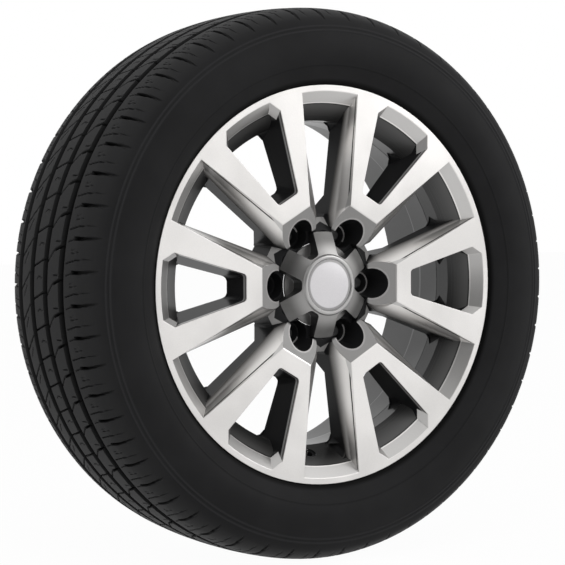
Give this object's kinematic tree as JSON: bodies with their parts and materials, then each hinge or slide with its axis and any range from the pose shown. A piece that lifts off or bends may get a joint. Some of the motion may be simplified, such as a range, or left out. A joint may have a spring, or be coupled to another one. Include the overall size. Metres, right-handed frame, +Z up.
{
  "type": "road wheel and tyre",
  "caption": "Cast alloy road wheel with split spokes, fitted with a road tyre and a clip-in star-shaped centre cap.",
  "frame": {"origin": "wheel centre: on the axle line, midway between the rim flanges", "axes": "+Y along the axle towards the vehicle, styled face towards -Y, +Z up"},
  "size_m": [0.6919, 0.233, 0.6918],
  "materials": {
    "wheel_alloy": "satin",
    "tyre_rubber": "matte",
    "cap_plastic": "satin",
    "badge_plastic": "gloss",
    "spring_steel": "satin"
  },
  "bodies": {
    "root": {"alloy_wheel": "wheel_alloy", "tyre": "tyre_rubber", "centre_cap": "cap_plastic", "cap_badge": "badge_plastic", "cap_spring_ring": "spring_steel"}
  },
  "joints": []
}
